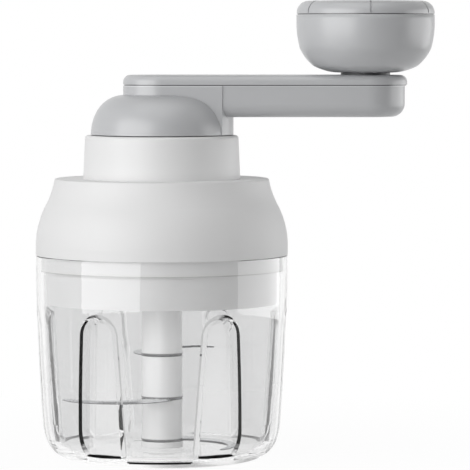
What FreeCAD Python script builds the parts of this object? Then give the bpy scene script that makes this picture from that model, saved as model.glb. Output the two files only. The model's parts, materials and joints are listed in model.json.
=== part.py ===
import FreeCAD, Part
import Sketcher
import math
import os
from types import SimpleNamespace

# Hand-cranked food chopper in millimetres, +Z up. The origin is on the bowl's axis, at the
# face the bowl stands on. The crank arm points along +X. A ring gear on the crank drives
# three planets on fixed pins, and these turn the sun gear and the blades three times as fast.

Vector = FreeCAD.Vector
Rotation = FreeCAD.Rotation
Placement = FreeCAD.Placement

# Driving sizes: lengths in millimetres, angles in degrees.
DRIVING_SIZES = {
    # bowl outline: flat base, heel and shoulder arcs, then the wall up to the rim
    "bowl_radius": 42.8,
    "base_inset": 10.7,
    "heel_inset": 3.0,
    "heel_level": 7.44,
    "heel_curve": 11.4,
    "heel_angle": 69.7,
    "shoulder_inset": 1.74,
    "shoulder_level": 13.4,
    "shoulder_curve": 21.0,
    "shoulder_angle": 86.4,
    "wall_curve": 880.0,
    "rim_level": 69.9,
    "rim_round": 0.5,
    "bowl_wall": 2.55,
    "floor_thickness": 2.8,
    "rebate_wall": 1.5,
    "rebate_depth": 5.2,
    # flutes pressed into the bowl wall
    "flute_count": 6,
    "flute_depth": 3.9,
    "flute_tilt_angle": 3.3,
    "flute_half_width": 4.2,
    "flute_foot_half_width": 6.5,
    "flute_draft_angle": 35,
    "flute_arch_level": 44.5,
    "flute_foot_level": 4.5,
    "flute_reach": 6.5,
    "flute_wall": 2.2,
    # shelf under each rib, between two flutes
    "shelf_level": 2.6,
    "shelf_depth": 0.5,
    "shelf_height": 1.0,
    "shelf_slope_angle": 35,
    "shelf_span_angle": 35,
    # pivot pin in the bowl floor
    "pin_radius": 2.0,
    "pin_seat_depth": 1.8,
    "pin_length": 17.0,
    "pin_tip": 0.8,
    "boss_radius": 4.2,
    "boss_height": 1.1,
    # blade stack
    "thrust_gap": 0.1,
    "bore_gap": 0.05,
    "post_radius": 6.95,
    "bead_radius": 7.2,
    "bead_height": 0.7,
    "post_flats": 8.0,
    "foot_thickness": 1.9,
    "blade_thickness": 0.7,
    "lower_spacer_height": 14.0,
    "middle_spacer_height": 14.1,
    "sleeve_height": 21.7,
    "post_in_sleeve": 11.0,
    "socket_clearance": 0.4,
    "hex_clearance": 0.2,
    "blade_clearance": 2.7,
    "bottom_blade_clearance": 4.7,
    "blade_outer_bow": 14.5,
    "blade_inner_bow": 8.5,
    "blade_root_offset": 4.17,
    "blade_bevel": 1.6,
    "blade_edge": 0.45,
    "top_blade_angle": 60,
    "middle_blade_angle": 189,
    "bottom_blade_angle": 309,
    # lid
    "lid_overhang": 0.1,
    "lid_height": 25.8,
    "lid_skirt_height": 3.5,
    "lid_waist_inset": 3.7,
    "lid_waist_drop": 8.5,
    "lid_waist_angle": 29,
    "lid_top_inset": 6.4,
    "lid_upper_curve": 30.7,
    "lid_lower_curve": 29.7,
    "lid_edge_round": 0.6,
    "lid_wall": 2.5,
    "screw_inset": 4.6,
    "post_tower_radius": 3.1,
    "tower_shortfall": 6.7,
    # plug that closes the bowl, with its gasket and a lip up to the lid
    "gasket_thickness": 1.0,
    "plug_clearance": 0.95,
    "plug_wall": 2.0,
    "plug_depth": 11.1,
    "plug_floor_rise": 6.8,
    "flange_clearance": 0.2,
    "flange_thickness": 2.3,
    "flange_lip_gap": 0.2,
    # collar and upper bush
    "collar_base_radius": 26.7,
    "collar_top_radius": 26.1,
    "collar_height": 14.7,
    "collar_edge_round": 1.0,
    "spigot_radius": 24.45,
    "collar_bore_radius": 22.2,
    "collar_plate": 2.5,
    "bush_wall": 2.45,
    "bush_lip": 2.0,
    "bush_lip_height": 1.0,
    # gear deck and lower bush
    "deck_clearance": 1.9,
    "deck_thickness": 3.0,
    "hub_boss_radius": 9.5,
    "hub_boss_height": 1.8,
    "planet_boss_radius": 4.5,
    "planet_boss_height": 3.4,
    "lower_bush_wall": 1.95,
    "lower_bush_lip": 1.4,
    "lower_bush_lip_height": 0.5,
    # gear train
    "ring_clearance": 0.3,
    "pressure_angle": 20,
    "sun_teeth": 15,
    "planet_teeth": 15,
    "planet_count": 3,
    "backlash": 0.14,
    "root_clearance": 0.25,
    "ring_addendum": 0.6,
    "gear_gap": 0.2,
    "gear_face": 8.8,
    "ring_overlap": 0.7,
    "ring_rim": 2.0,
    "ring_web": 2.6,
    "planet_pin_radius": 2.0,
    "pin_neck_radius": 1.5,
    "clip_radius": 3.6,
    "clip_thickness": 0.7,
    # drive shaft
    "drive_flats": 6.0,
    "drive_hex_length": 8.2,
    "journal_radius": 5.0,
    "shoulder_radius_drive": 6.5,
    "sun_flats": 8.0,
    "shaft_clip_radius": 7.6,
    "shaft_clip_seat": 4.2,
    "shaft_clip_gap": 0.2,
    "sun_hex_excess": 0.4,
    "seal_lip_width": 2.4,
    # crank spindle and hub
    "spindle_radius": 10.0,
    "spindle_journal_radius": 8.0,
    "spindle_flange_radius": 14.2,
    "spindle_flange_thickness": 2.5,
    "spindle_flats": 12.0,
    "spindle_hex_length": 7.0,
    "hub_hex_clearance": 0.1,
    "pilot_radius": 4.0,
    "hub_screw_circle": 11.6,
    # dome and arm
    "dome_gap": 0.3,
    "dome_radius": 24.1,
    "dome_waist_radius": 22.0,
    "dome_waist_rise": 8.0,
    "dome_lower_curve": 16.0,
    "dome_top_radius": 12.6,
    "dome_top_rise": 13.4,
    "dome_upper_curve": 10.8,
    "dome_wall": 2.2,
    "seam_gap": 0.12,
    "shadow_gap": 0.35,
    "arm_half_width": 13.1,
    "arm_flank_setback": 0.4,
    "arm_tail": 1.1,
    "arm_rise": 6.3,
    "arm_depth": 10.6,
    "arm_wall": 2.3,
    "arm_edge_round": 4.5,
    "barrel_radius": 24.4,
    "hub_socket_radius": 9.2,
    "rib_thickness": 1.8,
    "rib_height": 4.5,
    "cover_thickness": 3.6,
    "cover_edge_round": 2.4,
    "cover_lip_height": 1.5,
    "cover_lip_wall": 1.3,
    # knob
    "knob_reach": 69.2,
    "knob_washer_radius": 8.4,
    "knob_washer_thickness": 0.7,
    "knob_foot_radius": 9.4,
    "knob_cheek_radius": 17.6,
    "knob_cheek_rise": 2.2,
    "knob_cheek_curve": 19.1,
    "knob_flank_radius": 22.3,
    "knob_flank_rise": 8.2,
    "knob_flank_curve": 16.0,
    "knob_radius": 23.4,
    "knob_side_curve": 34.0,
    "knob_height": 19.6,
    "knob_wall": 2.4,
    "cap_height": 4.7,
    "cap_round": 4.1,
    "cap_slots": 6,
    "cap_slot_angle": 1.6,
    "cap_slot_depth": 0.5,
    "cap_slot_start": 12.0,
    "first_slot_angle": -87.6,
    "knob_post_radius": 4.0,
    "knob_post_spigot": 3.0,
    "knob_bush_wall": 1.5,
    "knob_hub_wall": 2.2,
    "knob_hub_height": 15.0,
    "retainer_radius": 6.4,
    "retainer_thickness": 1.0,
    # screws
    "screw_radius": 1.5,
    "screw_head_radius": 2.8,
    "screw_head_height": 1.8,
    "screw_grip": 10.0,
    "screw_key_flats": 2.4,
    "spindle_screw_radius": 2.0,
    "spindle_screw_head_radius": 4.2,
    "spindle_screw_head_height": 2.6,
    "spindle_screw_key_flats": 3.0,
    "small_screw_radius": 1.2,
    "small_screw_head_radius": 2.2,
    "small_screw_head_height": 1.4,
}

doc = FreeCAD.newDocument("food_chopper")
sheet = doc.addObject("Spreadsheet::Sheet", "Sizes")
for row, (alias, amount) in enumerate(DRIVING_SIZES.items(), start=1):
    sheet.set(f"A{row}", alias.replace("_", " "))
    sheet.set(f"B{row}", str(amount))
    sheet.setAlias(f"B{row}", alias)
doc.recompute()


class Size:
    """A length, angle or count together with the sheet formula that gives it."""

    def __init__(self, value, formula):
        self.value = value
        self.formula = formula

    def __add__(self, other):
        other = as_size(other)
        return Size(self.value + other.value, f"({self.formula} + {other.formula})")

    def __sub__(self, other):
        other = as_size(other)
        return Size(self.value - other.value, f"({self.formula} - {other.formula})")

    def __mul__(self, other):
        other = as_size(other)
        return Size(self.value * other.value, f"({self.formula} * {other.formula})")

    def __truediv__(self, other):
        other = as_size(other)
        return Size(self.value / other.value, f"({self.formula} / {other.formula})")

    def __neg__(self):
        return Size(-self.value, f"(0 - {self.formula})")

    __radd__ = __add__
    __rmul__ = __mul__


def as_size(amount):
    if isinstance(amount, Size):
        return amount
    return Size(float(amount), f"({float(amount)})")


def cosine(angle):
    return Size(math.cos(math.radians(angle.value)), f"cos({angle.formula})")


def sine(angle):
    return Size(math.sin(math.radians(angle.value)), f"sin({angle.formula})")


def tangent(angle):
    return Size(math.tan(math.radians(angle.value)), f"tan({angle.formula})")


def root(amount):
    return Size(math.sqrt(amount.value), f"sqrt({amount.formula})")


size = SimpleNamespace(**{
    alias: Size(float(sheet.get(alias)), f"Sizes.{alias}") for alias in DRIVING_SIZES
})
ZERO = as_size(0)
subparts = []


def bind(thing, path, amount):
    amount = as_size(amount)
    if "Sizes." in amount.formula:
        thing.setExpression(path, amount.formula)


def named(thing, label):
    """Registers a finished sub-part under the name of its file."""
    thing.Label = label
    subparts.append(thing)
    return thing


# ---------------------------------------------------------------- outlines and features

def line(x, y):
    return ("line", as_size(x), as_size(y), None)


def left(x, y, radius):
    """Arc of the given radius to a corner, turning left on the way."""
    return ("left", as_size(x), as_size(y), radius)


def right(x, y, radius):
    return ("right", as_size(x), as_size(y), radius)


def half_turn(x, y):
    """Half circle to a corner, turning left on the way."""
    return ("left", as_size(x), as_size(y), None)


def circle(radius, x=0, y=0):
    return ("circle", as_size(x), as_size(y), as_size(radius))


def arc_centre(start, end, radius, turn):
    chord = end - start
    half = chord.Length / 2
    middle = (start + end) * 0.5
    rise = math.sqrt(max(radius * radius - half * half, 0))
    normal = Vector(-chord.y, chord.x, 0).normalize()
    if turn == "right":
        normal = normal * -1
    return middle + normal * rise


def pin_point(sketch, geometry, point, x, y):
    for kind, amount in (("DistanceX", x), ("DistanceY", y)):
        index = sketch.addConstraint(
            Sketcher.Constraint(kind, -1, 1, geometry, point, amount.value))
        bind(sketch, f"Constraints[{index}]", amount)


def draw_circle(sketch, loop):
    _, x, y, radius = loop
    disc = Part.Circle(Vector(x.value, y.value, 0), Vector(0, 0, 1), radius.value)
    geometry = sketch.addGeometry(disc)
    pin_point(sketch, geometry, 3, x, y)
    index = sketch.addConstraint(Sketcher.Constraint("Radius", geometry, radius.value))
    bind(sketch, f"Constraints[{index}]", radius)


def draw_outline(sketch, corners):
    """Closed outline: each corner says how the edge that ends there runs."""
    edges = []
    for number, (kind, x, y, radius) in enumerate(corners):
        before = corners[number - 1]
        start = Vector(before[1].value, before[2].value, 0)
        end = Vector(x.value, y.value, 0)
        if kind == "line":
            geometry = sketch.addGeometry(Part.LineSegment(start, end))
            edges.append((geometry, 1, 2))
            continue
        reach = radius.value if radius else (end - start).Length / 2
        centre = arc_centre(start, end, reach, kind)
        if kind == "right":
            start, end = end, start
        first = math.atan2(start.y - centre.y, start.x - centre.x)
        last = math.atan2(end.y - centre.y, end.x - centre.x)
        if last < first:
            last += 2 * math.pi
        curve = Part.ArcOfCircle(Part.Circle(centre, Vector(0, 0, 1), reach), first, last)
        geometry = sketch.addGeometry(curve)
        edges.append((geometry, 1, 2) if kind == "left" else (geometry, 2, 1))
    for number, (kind, x, y, radius) in enumerate(corners):
        geometry, first, last = edges[number]
        following = edges[(number + 1) % len(edges)]
        sketch.addConstraint(
            Sketcher.Constraint("Coincident", geometry, last, following[0], following[1]))
        pin_point(sketch, geometry, last, x, y)
        if kind == "line":
            continue
        if radius:
            index = sketch.addConstraint(Sketcher.Constraint("Radius", geometry, radius.value))
            bind(sketch, f"Constraints[{index}]", radius)
            continue
        before = corners[number - 1]
        level_chord = abs(x.value - before[1].value) > abs(y.value - before[2].value)
        axis, near, far = ("Y", before[2], y) if level_chord else ("X", before[1], x)
        middle = (near + far) / 2
        index = sketch.addConstraint(
            Sketcher.Constraint(f"Distance{axis}", -1, 1, geometry, 3, middle.value))
        bind(sketch, f"Constraints[{index}]", middle)


def origin_feature(body, role):
    for feature in body.Origin.OriginFeatures:
        if feature.Role == role:
            return feature
    raise ValueError(role)


def new_body(name):
    return doc.addObject("PartDesign::Body", name)


def new_sketch(body, plane, loops, height=ZERO):
    """Sketch on one of the body's own origin planes, moved along the plane's normal."""
    sketch = body.newObject("Sketcher::SketchObject", f"{body.Name}_sketch")
    sketch.AttachmentSupport = [(origin_feature(body, plane), "")]
    sketch.MapMode = "FlatFace"
    sketch.AttachmentOffset = Placement(Vector(0, 0, height.value), Rotation())
    bind(sketch, "AttachmentOffset.Base.z", height)
    for loop in loops:
        if loop[0] == "circle":
            draw_circle(sketch, loop)
        else:
            draw_outline(sketch, loop)
    return sketch


def turned(body, loop):
    """Full revolution of a radius and height outline about the body's Z axis."""
    sketch = new_sketch(body, "XZ_Plane", [loop])
    feature = body.newObject("PartDesign::Revolution", f"{body.Name}_turned")
    feature.Profile = sketch
    feature.ReferenceAxis = (sketch, ["V_Axis"])
    feature.Angle = 360
    return feature


def raised(body, bottom, height, *loops):
    """Pad from a level upwards."""
    feature = body.newObject("PartDesign::Pad", f"{body.Name}_pad")
    feature.Profile = new_sketch(body, "XY_Plane", loops, as_size(bottom))
    feature.Length = as_size(height).value
    bind(feature, "Length", height)
    return feature


def sunk(body, bottom, height, *loops):
    """Pocket between a level and the level a height above it."""
    feature = body.newObject("PartDesign::Pocket", f"{body.Name}_pocket")
    feature.Profile = new_sketch(body, "XY_Plane", loops, bottom + height)
    feature.Length = as_size(height).value
    bind(feature, "Length", height)
    return feature


def repeated(body, feature, count):
    """Polar pattern of one feature about the body's Z axis."""
    pattern = body.newObject("PartDesign::PolarPattern", f"{body.Name}_pattern")
    pattern.Originals = [feature]
    pattern.Axis = (origin_feature(body, "Z_Axis"), [""])
    pattern.Angle = 360
    pattern.Occurrences = int(count.value)
    bind(pattern, "Occurrences", count)
    body.Tip = pattern
    return pattern


def rounded(body, feature, level, radius):
    """Fillet on every edge of the last feature that lies at one level."""
    doc.recompute()
    edges = []
    for number, edge in enumerate(feature.Shape.Edges, start=1):
        box = edge.BoundBox
        if abs(box.ZMin - level.value) < 1e-6 and abs(box.ZMax - level.value) < 1e-6:
            edges.append(f"Edge{number}")
    fillet = body.newObject("PartDesign::Fillet", f"{body.Name}_fillet")
    fillet.Base = (feature, edges)
    fillet.Radius = radius.value
    bind(fillet, "Radius", radius)
    return fillet


def placed(thing, x=ZERO, y=ZERO, turn=ZERO):
    """Moves a finished sub-part across the ground plane and turns it about its own axis."""
    thing.Placement = Placement(Vector(x.value, y.value, 0), Rotation(Vector(0, 0, 1), turn.value))
    bind(thing, "Placement.Base.x", x)
    bind(thing, "Placement.Base.y", y)
    bind(thing, "Placement.Rotation.Angle", turn)
    return thing


def hexagon(flats, turn=ZERO):
    corner = flats / root(as_size(3))
    angles = [turn + 60 * number for number in range(6)]
    return [line(corner * cosine(angle), corner * sine(angle)) for angle in angles]


def stadium(half_width, length):
    """Plan of the arm: straight sides and round ends, the near end about the origin."""
    return [line(length, -half_width), half_turn(length, half_width),
            line(0, half_width), half_turn(0, -half_width)]


def bow_radius(across, along, bow):
    """Radius of the arc that rises by bow over a chord given by its two runs."""
    chord_squared = across * across + along * along
    return (chord_squared / 4 + bow * bow) / (bow * 2)


def barrel_plan(half_width, reach):
    """Plan of the arm's root: the arm's width, cut off by a circle about the hub."""
    corner = root(reach * reach - half_width * half_width)
    return [line(corner, -half_width), left(corner, half_width, reach),
            line(0, half_width), half_turn(0, -half_width)]


def washer(label, inner, outer, bottom, height, x=ZERO):
    body = new_body(label)
    raised(body, bottom, height, circle(outer), circle(inner))
    return named(placed(body, x=x), label)


def screws(label, count, ring, bottom, head_height, head_radius, shank_radius, length, turn=ZERO):
    """Ring of like screws, heads down: one separate solid for each screw."""
    body = new_body(label)
    profile = raised(body, bottom, head_height, circle(head_radius, ring))
    if count.value > 1:
        repeated(body, profile, count)
    shank = raised(body, bottom + head_height, length, circle(shank_radius, ring))
    if count.value > 1:
        repeated(body, shank, count)
    return named(placed(body, turn=turn), label)


# ---------------------------------------------------------------- levels and fits

heel_radius = size.bowl_radius - size.heel_inset
base_radius = heel_radius - size.base_inset
shoulder_radius = size.bowl_radius - size.shoulder_inset
cavity_radius = size.bowl_radius - size.bowl_wall
rebate_radius = size.bowl_radius - size.rebate_wall
flute_face_radius = size.bowl_radius - size.flute_depth
flute_inner_radius = flute_face_radius - size.flute_wall
blade_reach = flute_inner_radius - size.blade_clearance
bottom_blade_reach = flute_inner_radius - size.bottom_blade_clearance
plug_radius = cavity_radius - size.plug_clearance
flange_radius = rebate_radius - size.flange_clearance
lid_radius = size.bowl_radius + size.lid_overhang
lid_waist_radius = lid_radius - size.lid_waist_inset
lid_top_radius = lid_radius - size.lid_top_inset
deck_radius = lid_radius - size.lid_wall - size.deck_clearance
screw_circle = deck_radius - size.screw_inset

ledge_level = size.rim_level - size.rebate_depth
foot_level = size.floor_thickness + size.boss_height + size.thrust_gap
bottom_blade_level = foot_level + size.foot_thickness
lower_spacer_level = bottom_blade_level + size.blade_thickness
middle_blade_level = lower_spacer_level + size.lower_spacer_height
middle_spacer_level = middle_blade_level + size.blade_thickness
top_blade_level = middle_spacer_level + size.middle_spacer_height
sleeve_level = top_blade_level + size.blade_thickness
sleeve_top = sleeve_level + size.sleeve_height
post_top = sleeve_level + size.post_in_sleeve

plug_bottom = ledge_level - size.plug_depth
plug_floor = plug_bottom + size.plug_floor_rise
flange_level = ledge_level + size.gasket_thickness
deck_level = flange_level + size.flange_thickness
deck_top = deck_level + size.deck_thickness
lid_top = size.rim_level + size.lid_height
lid_inner_top = lid_top - size.lid_wall
tower_top = lid_top - size.tower_shortfall
waist_level = lid_top - size.lid_waist_drop
collar_top = lid_top + size.collar_height
plate_level = collar_top - size.collar_plate

gear_level = deck_top + size.planet_boss_height
gear_top = gear_level + size.gear_face
ring_outer_radius = screw_circle - size.post_tower_radius - size.ring_clearance
ring_teeth = size.sun_teeth + size.planet_teeth * 2
ring_root_modules = ring_teeth / 2 + size.root_clearance + 1
gear_module = (ring_outer_radius - size.ring_rim) / ring_root_modules
planet_circle = gear_module * (size.sun_teeth + size.planet_teeth) / 2
ring_bottom = gear_level - size.gear_gap
web_level = gear_top + size.clip_thickness + size.ring_overlap
web_top = web_level + size.ring_web

bore_radius = size.pin_radius + size.bore_gap
journal_bore = size.journal_radius + size.bore_gap
lower_bush_radius = size.journal_radius + size.bore_gap + size.lower_bush_wall
lower_bush_top = deck_top + size.hub_boss_height
shaft_shoulder = lower_bush_top + size.lower_bush_lip_height + size.thrust_gap
upper_bore = size.spindle_journal_radius + size.bore_gap
upper_bush_radius = upper_bore + size.bush_wall
spindle_shoulder = plate_level - size.bush_lip_height - size.thrust_gap
spindle_flange_top = web_top + size.spindle_flange_thickness

dome_level = collar_top + size.dome_gap
arm_bottom = collar_top + size.arm_rise
arm_seam = arm_bottom + size.arm_depth
arm_top = arm_seam + size.cover_thickness
arm_floor = arm_bottom + size.arm_wall
hub_socket_top = dome_level + size.spindle_hex_length
hub_floor = dome_level + size.arm_wall
socket_roof = hub_socket_top + size.arm_wall
hub_boss_outer = size.hub_socket_radius + size.thrust_gap
post_seat_top = arm_seam - size.cover_lip_height
knob_seat_outer = size.knob_post_spigot + size.knob_wall
inner_half_width = size.arm_half_width - size.arm_wall
arm_length = size.knob_reach + size.arm_tail
knob_level = arm_top + size.knob_washer_thickness + size.thrust_gap
knob_seam = knob_level + size.knob_height
knob_bore = size.knob_post_radius + size.bore_gap
knob_bush_radius = knob_bore + size.knob_bush_wall
knob_hub_radius = knob_bush_radius + size.knob_hub_wall
knob_hub_top = knob_level + size.knob_hub_height
knob_post_top = knob_hub_top + size.thrust_gap


# ---------------------------------------------------------------- bowl

def flute(body, face_radius, wall_share):
    """Arched channel pressed in from the front: it widens to its foot, with drafted sides."""
    spread = size.flute_reach * tangent(size.flute_draft_angle)
    arch = size.flute_half_width + wall_share + spread
    foot = size.flute_foot_half_width + wall_share + spread
    face_height = (size.flute_arch_level - size.flute_foot_level) / cosine(size.flute_tilt_angle)
    drop = face_height + spread
    sketch = new_sketch(body, "XZ_Plane", [[
        line(-foot, -drop), line(foot, -drop), line(arch, 0), half_turn(-arch, 0),
    ]])
    distance = face_radius + size.flute_reach
    sketch.AttachmentOffset = Placement(
        Vector(0, size.flute_arch_level.value, distance.value),
        Rotation(Vector(1, 0, 0), size.flute_tilt_angle.value))
    bind(sketch, "AttachmentOffset.Base.y", size.flute_arch_level)
    bind(sketch, "AttachmentOffset.Base.z", distance)
    bind(sketch, "AttachmentOffset.Rotation.Angle", size.flute_tilt_angle)
    channel = body.newObject("PartDesign::Pocket", f"{body.Name}_flute")
    channel.Profile = sketch
    channel.Length = size.flute_reach.value
    channel.TaperAngle = -size.flute_draft_angle.value
    bind(channel, "Length", size.flute_reach)
    bind(channel, "TaperAngle", -size.flute_draft_angle)
    return repeated(body, channel, size.flute_count)


def heel_reach(level):
    """Radius of the bowl's heel at a level."""
    above = size.heel_curve - level
    return base_radius + root(size.heel_curve * size.heel_curve - above * above)


def shelf(body):
    """Shallow notch across the foot of one rib, repeated round the bowl."""
    low = size.shelf_level
    high = low + size.shelf_height
    slope = tangent(size.shelf_slope_angle)
    sketch = new_sketch(body, "XZ_Plane", [[
        line(heel_reach(low) - size.shelf_depth, low + size.shelf_depth * slope),
        line(heel_reach(low) + size.shelf_height, low - size.shelf_height * slope),
        line(heel_reach(high) + size.shelf_height, high + size.shelf_depth),
    ]])
    notch = body.newObject("PartDesign::Groove", f"{body.Name}_shelf")
    notch.Profile = sketch
    notch.ReferenceAxis = (sketch, ["V_Axis"])
    notch.Angle = size.shelf_span_angle.value
    notch.Midplane = True
    bind(notch, "Angle", size.shelf_span_angle)
    return repeated(body, notch, size.flute_count)


def make_bowl():
    """Clear bowl: a turned blank with pressed flutes, less the cavity that follows them."""
    blank = new_body("bowl_blank")
    turned(blank, [
        line(0, 0),
        line(base_radius, 0),
        left(heel_radius, size.heel_level, size.heel_curve),
        left(shoulder_radius, size.shoulder_level, size.shoulder_curve),
        left(size.bowl_radius, size.rim_level - size.rim_round, size.wall_curve),
        left(size.bowl_radius - size.rim_round, size.rim_level, size.rim_round),
        line(0, size.rim_level),
    ])
    flute(blank, flute_face_radius, as_size(0))
    shelf(blank)

    wall = size.bowl_wall
    above_rim = size.rim_level + size.rim_round
    cavity = new_body("bowl_cavity")
    turned(cavity, [
        line(0, size.floor_thickness),
        line(base_radius, size.floor_thickness),
        left(heel_radius - wall * sine(size.heel_angle),
             size.heel_level + wall * cosine(size.heel_angle), size.heel_curve - wall),
        left(shoulder_radius - wall * sine(size.shoulder_angle),
             size.shoulder_level + wall * cosine(size.shoulder_angle),
             size.shoulder_curve - wall),
        left(cavity_radius, ledge_level, size.wall_curve - wall),
        line(rebate_radius, ledge_level),
        line(rebate_radius, above_rim),
        line(0, above_rim),
    ])
    draft = size.flute_draft_angle
    wall_share = size.flute_wall / cosine(draft) - size.flute_wall * tangent(draft)
    flute(cavity, flute_inner_radius, wall_share)
    sunk(cavity, size.floor_thickness, size.boss_height,
         circle(size.boss_radius), circle(size.pin_radius))
    seat = size.floor_thickness - size.pin_seat_depth
    raised(cavity, seat, size.pin_seat_depth + size.boss_height, circle(size.pin_radius))

    bowl = doc.addObject("Part::Cut", "bowl")
    bowl.Base = blank
    bowl.Tool = cavity
    half_pitch = 180 / size.flute_count.value
    for half in (blank, cavity):
        half.Placement = Placement(Vector(), Rotation(Vector(0, 0, 1), half_pitch))
        bind(half, "Placement.Rotation.Angle", as_size(180) / size.flute_count)
    return named(bowl, "bowl")


def make_pivot_pin():
    """Steel pin pressed into the floor boss, with a coned tip that guides the blades on."""
    bottom = size.floor_thickness - size.pin_seat_depth
    top = bottom + size.pin_length
    body = new_body("pivot_pin")
    turned(body, [
        line(0, bottom),
        line(size.pin_radius, bottom),
        line(size.pin_radius, top - size.pin_tip),
        line(size.pin_radius - size.pin_tip, top),
        line(0, top),
    ])
    return named(body, "pivot_pin")


# ---------------------------------------------------------------- blades

def make_blade(label, level, reach, turn):
    """Sickle blade: a ring on the post and one curved wing, bevelled on its outer edge."""
    body = new_body(label)
    ring = size.post_radius
    raised(body, level, size.blade_thickness, circle(ring))
    edge = size.blade_edge
    root_offset = size.blade_root_offset
    outer_curve = bow_radius(reach + root_offset, root_offset - edge, size.blade_outer_bow)
    inner_curve = bow_radius(reach - edge - root_offset, root_offset + edge,
                             size.blade_inner_bow)
    raised(body, level, size.blade_thickness, [
        line(reach, edge),
        left(-root_offset, root_offset, outer_curve),
        line(root_offset, root_offset),
        right(reach - edge, -edge, inner_curve),
    ])
    bored = sunk(body, level, size.blade_thickness, hexagon(size.post_flats, -turn))
    doc.recompute()
    outer = []
    for number, side in enumerate(bored.Shape.Edges, start=1):
        box = side.BoundBox
        if abs(box.ZMin - (level + size.blade_thickness).value) < 1e-6:
            outer.append((side.Length, f"Edge{number}"))
    bevel = body.newObject("PartDesign::Chamfer", f"{body.Name}_bevel")
    bevel.Base = (bored, [max(outer)[1]])
    bevel.ChamferType = "Two distances"
    bevel.FlipDirection = True
    bevel.Size = size.blade_edge.value
    bevel.Size2 = size.blade_bevel.value
    bind(bevel, "Size", size.blade_edge)
    bind(bevel, "Size2", size.blade_bevel)
    return named(placed(body, turn=turn), label)


def beaded(label, bottom, height):
    """Spacer between two blades, with a bead at each end and a hexagonal bore."""
    body = new_body(label)
    bead = size.bead_height
    turned(body, [
        line(0, bottom),
        line(size.bead_radius, bottom),
        line(size.bead_radius, bottom + bead),
        line(size.post_radius, bottom + bead),
        line(size.post_radius, bottom + height - bead),
        line(size.bead_radius, bottom + height - bead),
        line(size.bead_radius, bottom + height),
        line(0, bottom + height),
    ])
    return body


def make_blade_post():
    """Hexagonal post with the foot that runs on the floor boss, bored for the pivot pin."""
    body = new_body("blade_post")
    raised(body, foot_level, size.foot_thickness, circle(size.bead_radius))
    raised(body, bottom_blade_level, post_top - bottom_blade_level, hexagon(size.post_flats))
    pin_top = size.floor_thickness - size.pin_seat_depth + size.pin_length
    sunk(body, foot_level, pin_top + size.socket_clearance - foot_level, circle(bore_radius))
    return named(body, "blade_post")


def make_spacer(label, bottom, height):
    body = beaded(label, bottom, height)
    sunk(body, bottom, height, hexagon(size.post_flats))
    return named(body, label)


def make_sleeve():
    """Upper sleeve: caps the post, and its top socket takes the drive shaft's hexagon."""
    body = beaded("sleeve_upper", sleeve_level, size.sleeve_height)
    sunk(body, sleeve_level, size.post_in_sleeve, hexagon(size.post_flats))
    socket_depth = size.drive_hex_length + size.socket_clearance
    sunk(body, sleeve_top - socket_depth, socket_depth,
         hexagon(size.drive_flats + size.hex_clearance))
    return named(body, "sleeve_upper")


# ---------------------------------------------------------------- lid

def make_lid_shell():
    """Bell-shaped lid shell with three screw towers inside."""
    body = new_body("lid_shell")
    wall = size.lid_wall
    skirt_top = size.rim_level + size.lid_skirt_height
    turned(body, [
        line(lid_radius, size.rim_level),
        line(lid_radius, skirt_top),
        left(lid_waist_radius, waist_level, size.lid_lower_curve),
        right(lid_top_radius, lid_top - size.lid_edge_round, size.lid_upper_curve),
        left(lid_top_radius - size.lid_edge_round, lid_top, size.lid_edge_round),
        line(size.spigot_radius, lid_top),
        line(size.spigot_radius, lid_inner_top),
        line(lid_top_radius - wall, lid_inner_top),
        left(lid_waist_radius - wall * cosine(size.lid_waist_angle),
             waist_level - wall * sine(size.lid_waist_angle), size.lid_upper_curve + wall),
        right(lid_radius - wall, skirt_top, size.lid_lower_curve - wall),
        line(lid_radius - wall, size.rim_level),
    ])
    tower = raised(body, deck_top, tower_top - deck_top,
                   circle(size.post_tower_radius, screw_circle))
    repeated(body, tower, size.planet_count)
    bore = sunk(body, deck_top, size.screw_grip, circle(size.screw_radius, screw_circle))
    repeated(body, bore, size.planet_count)
    return named(placed(body, turn=as_size(180) / size.planet_count), "lid_shell")


def make_collar():
    """Collar on the lid: carries the upper bush in its top plate."""
    body = new_body("collar_ring")
    edge = size.collar_edge_round
    turned(body, [
        line(size.spigot_radius, lid_inner_top),
        line(size.spigot_radius, lid_top),
        line(size.collar_base_radius, lid_top),
        line(size.collar_top_radius, collar_top - edge),
        left(size.collar_top_radius - edge, collar_top, edge),
        line(upper_bush_radius, collar_top),
        line(upper_bush_radius, plate_level),
        line(size.collar_bore_radius, plate_level),
        line(size.collar_bore_radius, lid_inner_top),
    ])
    return named(body, "collar_ring")


def lipped_bush(label, bore, outer, bottom, top, lip, lip_bottom, lip_top):
    """Plain bearing bush with a lip at one end."""
    body = new_body(label)
    raised(body, bottom, top - bottom, circle(outer), circle(bore))
    raised(body, lip_bottom, lip_top - lip_bottom, circle(outer + lip), circle(bore))
    return named(body, label)


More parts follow.
